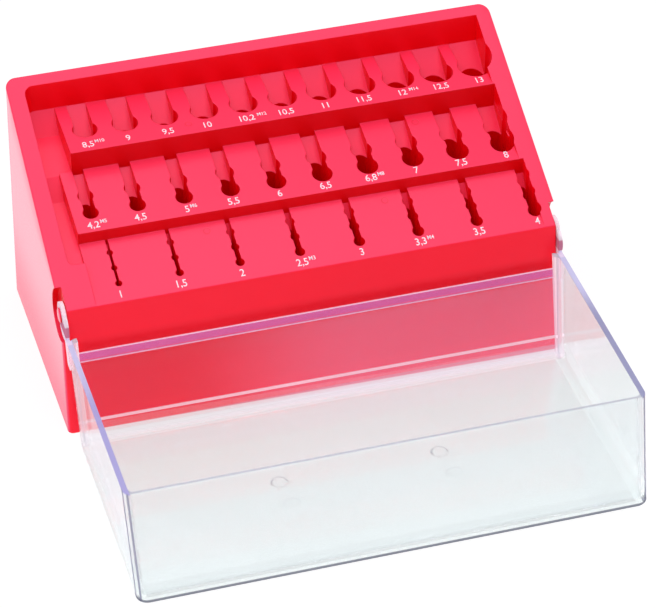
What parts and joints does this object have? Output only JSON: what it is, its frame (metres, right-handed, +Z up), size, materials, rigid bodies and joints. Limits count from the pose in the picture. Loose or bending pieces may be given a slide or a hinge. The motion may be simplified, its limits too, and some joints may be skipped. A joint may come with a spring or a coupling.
{
  "type": "drill bit case",
  "caption": "Sloping moulded drill case with stepped rows of graded sockets and a clear hinged lid that folds forward onto the bench.",
  "frame": {"origin": "centre of the open case's footprint, on the surface it stands on", "axes": "+X across the case to the end with the large drills, +Y to the high back of the housing, +Z up"},
  "size_m": [0.2316, 0.234, 0.1145],
  "materials": {
    "housing": "glossy red polystyrene, one moulding with the racks",
    "racks": "glossy red polystyrene, one moulding with the housing",
    "lid": "clear moulded polystyrene with polished faces",
    "pins": "smooth dark red plastic"
  },
  "bodies": {
    "housing": {"housing_shell": "housing", "rack_back_row": "racks", "rack_middle_row": "racks", "rack_front_row": "racks", "hinge_pin_left": "pins", "hinge_pin_right": "pins"},
    "lid": {"lid": "lid"}
  },
  "joints": [
    {"name": "lid_hinge", "type": "hinge", "parent": "housing", "child": "lid", "pos_m": [0, 0.01333, 0.05687], "axis": [-1, 0, 0], "range_deg": [0, 153.86]}
  ]
}
